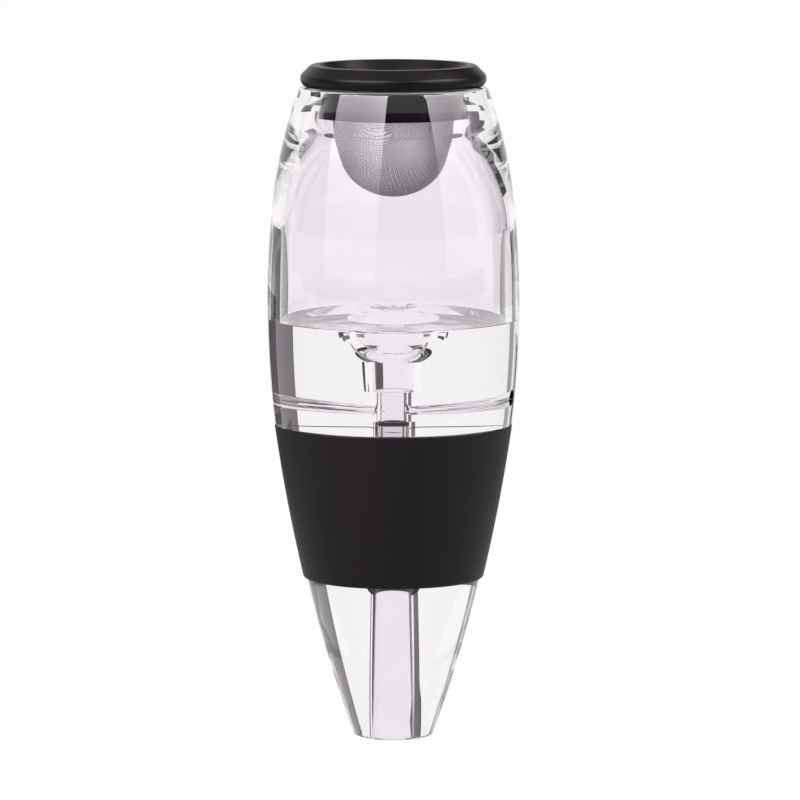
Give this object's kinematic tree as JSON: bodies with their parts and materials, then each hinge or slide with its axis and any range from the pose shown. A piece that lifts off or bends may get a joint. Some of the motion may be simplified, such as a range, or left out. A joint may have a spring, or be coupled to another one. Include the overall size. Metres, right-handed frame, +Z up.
{
  "type": "wine aerator",
  "caption": "Clear hand-held wine aerator: a mesh strainer, a pouring chamber, a narrow throat that draws air in from the sides, and a tapered nozzle with a rubber grip band.",
  "frame": {"origin": "centre of the pouring tip's face, on the object's axis, where it stands", "axes": "+Z up along the object's axis from the tip to the pouring rim, +X through one of the two air channels"},
  "size_m": [0.056, 0.056, 0.15],
  "materials": {
    "clear_acrylic": "polished clear cast acrylic with a faint lavender tint",
    "seal_rubber": "smooth black seal rubber",
    "grip_rubber": "fine matt moulded rubber",
    "rim_plastic": "satin moulded black plastic",
    "steel_mesh": "fine woven stainless steel wire"
  },
  "bodies": {
    "root": {"mixing_body": "clear_acrylic", "nozzle_body": "clear_acrylic", "throat_ring": "seal_rubber", "grip_band": "grip_rubber", "pour_rim": "rim_plastic", "mesh_dome": "steel_mesh"}
  },
  "joints": []
}
